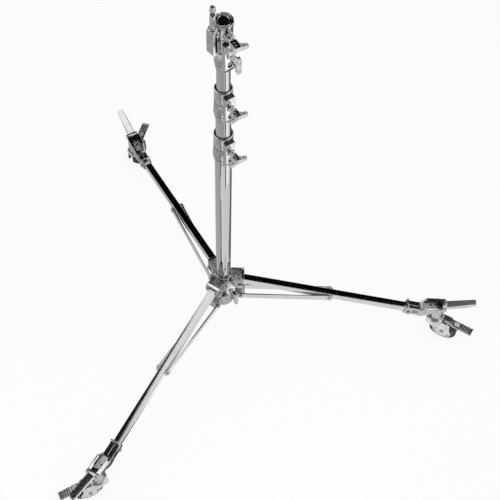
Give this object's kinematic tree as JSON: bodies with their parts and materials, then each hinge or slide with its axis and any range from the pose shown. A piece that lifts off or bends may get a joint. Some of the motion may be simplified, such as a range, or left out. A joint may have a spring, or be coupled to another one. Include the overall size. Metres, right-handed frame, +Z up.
{
  "type": "roller stand for lights",
  "caption": "Chromed roller stand for lights: folding braced base on braked casters, telescoping risers with clamp collars, and a head with a 28 mm socket and a 16 mm spigot.",
  "frame": {"origin": "centre of the flat underside of the column's foot", "axes": "+Z up along the column axis; +X towards the leg on the right in the picture, +Y away from the camera; the floor is at z = -0.18"},
  "size_m": [1.4634, 1.5927, 1.7183],
  "materials": {
    "chrome": "bright chrome plate",
    "bolts": "chromed steel fasteners",
    "chrome_casting": "chromed casting, slightly soft",
    "rough_casting": "plated rough casting with a mottled surface",
    "pressed_steel": "plated pressed steel",
    "nylon": "black nylon",
    "tyre": "black rubber tread"
  },
  "bodies": {
    "column_base": {"base_tube": "chrome", "foot_plug": "nylon", "lower_hub": "rough_casting", "collar_1": "chrome_casting", "brace_1_bolt": "bolts", "brace_2_bolt": "bolts", "brace_3_bolt": "bolts"},
    "collar_1_key": {"collar_1_key": "chrome_casting"},
    "riser_1": {"riser_1": "chrome", "riser_1_bush": "nylon", "collar_2": "chrome_casting"},
    "collar_2_key": {"collar_2_key": "chrome_casting"},
    "riser_2": {"riser_2": "chrome", "riser_2_bush": "nylon", "collar_3": "chrome_casting"},
    "collar_3_key": {"collar_3_key": "chrome_casting"},
    "riser_3": {"riser_3": "chrome", "riser_3_bush": "nylon", "head": "chrome_casting", "spigot_holder": "chrome_casting"},
    "head_key": {"head_key": "chrome_casting"},
    "spigot": {"spigot": "chrome"},
    "upper_hub": {"upper_hub": "rough_casting", "leg_1_hinge_bolt": "bolts", "leg_2_hinge_bolt": "bolts", "leg_3_hinge_bolt": "bolts"},
    "upper_hub_key": {"upper_hub_key": "chrome_casting"},
    "leg_1": {"leg_1_tube": "chrome", "caster_1_housing": "chrome_casting"},
    "brace_1": {"brace_1_left_strap": "chrome", "brace_1_right_strap": "chrome"},
    "caster_1_fork": {"caster_1_fork": "chrome", "caster_1_kingpin": "bolts", "caster_1_axle": "bolts"},
    "caster_1_wheel": {"caster_1_wheel": "nylon", "caster_1_tyre": "tyre"},
    "caster_1_brake_pedal": {"caster_1_brake_pedal": "pressed_steel"},
    "caster_1_lock_lever": {"caster_1_lock_lever": "pressed_steel"},
    "leg_2": {"leg_2_tube": "chrome", "caster_2_housing": "chrome_casting"},
    "brace_2": {"brace_2_left_strap": "chrome", "brace_2_right_strap": "chrome"},
    "caster_2_fork": {"caster_2_fork": "chrome", "caster_2_kingpin": "bolts", "caster_2_axle": "bolts"},
    "caster_2_wheel": {"caster_2_wheel": "nylon", "caster_2_tyre": "tyre"},
    "caster_2_brake_pedal": {"caster_2_brake_pedal": "pressed_steel"},
    "caster_2_lock_lever": {"caster_2_lock_lever": "pressed_steel"},
    "leg_3": {"leg_3_tube": "chrome", "caster_3_housing": "chrome_casting"},
    "brace_3": {"brace_3_left_strap": "chrome", "brace_3_right_strap": "chrome"},
    "caster_3_fork": {"caster_3_fork": "chrome", "caster_3_kingpin": "bolts", "caster_3_axle": "bolts"},
    "caster_3_wheel": {"caster_3_wheel": "nylon", "caster_3_tyre": "tyre"},
    "caster_3_brake_pedal": {"caster_3_brake_pedal": "pressed_steel"},
    "caster_3_lock_lever": {"caster_3_lock_lever": "pressed_steel"}
  },
  "joints": [
    {"name": "riser_1_slide", "type": "slide", "parent": "column_base", "child": "riser_1", "axis": [0, 0, 1], "range_m": [0, 0.85]},
    {"name": "riser_2_slide", "type": "slide", "parent": "riser_1", "child": "riser_2", "axis": [0, 0, 1], "range_m": [0, 0.85]},
    {"name": "riser_3_slide", "type": "slide", "parent": "riser_2", "child": "riser_3", "axis": [0, 0, 1], "range_m": [0, 0.85]},
    {"name": "collar_1_key_turn", "type": "hinge", "parent": "column_base", "child": "collar_1_key", "pos_m": [0.0207, -0.03187, 0.949], "axis": [0.5446, -0.8387, 0], "range_deg": [-180, 180]},
    {"name": "collar_2_key_turn", "type": "hinge", "parent": "riser_1", "child": "collar_2_key", "pos_m": [0.01906, -0.02935, 1.152], "axis": [0.5446, -0.8387, 0], "range_deg": [-180, 180]},
    {"name": "collar_3_key_turn", "type": "hinge", "parent": "riser_2", "child": "collar_3_key", "pos_m": [0.01743, -0.02684, 1.364], "axis": [0.5446, -0.8387, 0], "range_deg": [-180, 180]},
    {"name": "head_key_turn", "type": "hinge", "parent": "riser_3", "child": "head_key", "pos_m": [0.01714, -0.03223, 1.4343], "axis": [0.4695, -0.8829, 0], "range_deg": [-180, 180]},
    {"name": "spigot_slide", "type": "slide", "parent": "riser_3", "child": "spigot", "axis": [0, 0, 1], "range_m": [-0.055, 0]},
    {"name": "base_fold", "type": "slide", "parent": "column_base", "child": "upper_hub", "axis": [0, 0, 1], "range_m": [0, 0.523]},
    {"name": "upper_hub_key_turn", "type": "hinge", "parent": "upper_hub", "child": "upper_hub_key", "pos_m": [0.02627, -0.05171, 0.146], "axis": [0.4529, -0.8916, 0], "range_deg": [-180, 180]},
    {"name": "leg_1_fold", "type": "hinge", "parent": "upper_hub", "child": "leg_1", "pos_m": [-0.02717, 0.05349, 0.14], "axis": [-0.8916, -0.4529, 0], "range_deg": [0, 60]},
    {"name": "brace_1_fold", "type": "hinge", "parent": "column_base", "child": "brace_1", "pos_m": [-0.02853, 0.05617, 0.052], "axis": [0.8916, 0.4529, 0], "range_deg": [0, 71]},
    {"name": "caster_1_lock_lever_press", "type": "hinge", "parent": "leg_1", "child": "caster_1_lock_lever", "pos_m": [-0.35824, 0.70522, 0.014], "axis": [-0.8916, -0.4529, 0], "range_deg": [0, 20]},
    {"name": "caster_1_swivel", "type": "hinge", "parent": "leg_1", "child": "caster_1_fork", "pos_m": [-0.351, 0.69096, -0.063], "axis": [0, 0, 1], "continuous": true},
    {"name": "caster_1_wheel_spin", "type": "hinge", "parent": "caster_1_fork", "child": "caster_1_wheel", "pos_m": [-0.3406, 0.72958, -0.13], "axis": [-0.9656, 0.26, 0], "continuous": true},
    {"name": "caster_1_brake_press", "type": "hinge", "parent": "caster_1_fork", "child": "caster_1_brake_pedal", "pos_m": [-0.338, 0.73924, -0.07], "axis": [-0.9656, 0.26, 0], "range_deg": [0, 8]},
    {"name": "leg_2_fold", "type": "hinge", "parent": "upper_hub", "child": "leg_2", "pos_m": [0.05991, -0.00321, 0.14], "axis": [0.0536, 0.9986, 0], "range_deg": [0, 60]},
    {"name": "brace_2_fold", "type": "hinge", "parent": "column_base", "child": "brace_2", "pos_m": [0.06291, -0.00337, 0.052], "axis": [-0.0536, -0.9986, 0], "range_deg": [0, 71]},
    {"name": "caster_2_lock_lever_press", "type": "hinge", "parent": "leg_2", "child": "caster_2_lock_lever", "pos_m": [0.78987, -0.04236, 0.014], "axis": [0.0536, 0.9986, 0], "range_deg": [0, 20]},
    {"name": "caster_2_swivel", "type": "hinge", "parent": "leg_2", "child": "caster_2_fork", "pos_m": [0.77389, -0.04151, -0.063], "axis": [0, 0, 1], "continuous": true},
    {"name": "caster_2_wheel_spin", "type": "hinge", "parent": "caster_2_fork", "child": "caster_2_wheel", "pos_m": [0.80951, -0.05971, -0.13], "axis": [0.4551, 0.8905, 0], "continuous": true},
    {"name": "caster_2_brake_press", "type": "hinge", "parent": "caster_2_fork", "child": "caster_2_brake_pedal", "pos_m": [0.81841, -0.06426, -0.07], "axis": [0.4551, 0.8905, 0], "range_deg": [0, 8]},
    {"name": "leg_3_fold", "type": "hinge", "parent": "upper_hub", "child": "leg_3", "pos_m": [-0.03274, -0.05028, 0.14], "axis": [0.838, -0.5457, 0], "range_deg": [0, 60]},
    {"name": "brace_3_fold", "type": "hinge", "parent": "column_base", "child": "brace_3", "pos_m": [-0.03438, -0.05279, 0.052], "axis": [-0.838, 0.5457, 0], "range_deg": [0, 71]},
    {"name": "caster_3_lock_lever_press", "type": "hinge", "parent": "leg_3", "child": "caster_3_lock_lever", "pos_m": [-0.43162, -0.66286, 0.014], "axis": [0.838, -0.5457, 0], "range_deg": [0, 20]},
    {"name": "caster_3_swivel", "type": "hinge", "parent": "leg_3", "child": "caster_3_fork", "pos_m": [-0.42289, -0.64945, -0.063], "axis": [0, 0, 1], "continuous": true},
    {"name": "caster_3_wheel_spin", "type": "hinge", "parent": "caster_3_fork", "child": "caster_3_wheel", "pos_m": [-0.45886, -0.66694, -0.13], "axis": [0.4373, -0.8993, 0], "continuous": true},
    {"name": "caster_3_brake_press", "type": "hinge", "parent": "caster_3_fork", "child": "caster_3_brake_pedal", "pos_m": [-0.46786, -0.67132, -0.07], "axis": [0.4373, -0.8993, 0], "range_deg": [0, 8]}
  ],
  "couplings": [
    {"joint": "leg_1_fold", "follows": "base_fold", "rad_per_m": 2.001},
    {"joint": "brace_1_fold", "follows": "base_fold", "rad_per_m": 2.3675},
    {"joint": "leg_2_fold", "follows": "base_fold", "rad_per_m": 2.001},
    {"joint": "brace_2_fold", "follows": "base_fold", "rad_per_m": 2.3675},
    {"joint": "leg_3_fold", "follows": "base_fold", "rad_per_m": 2.001},
    {"joint": "brace_3_fold", "follows": "base_fold", "rad_per_m": 2.3675}
  ]
}
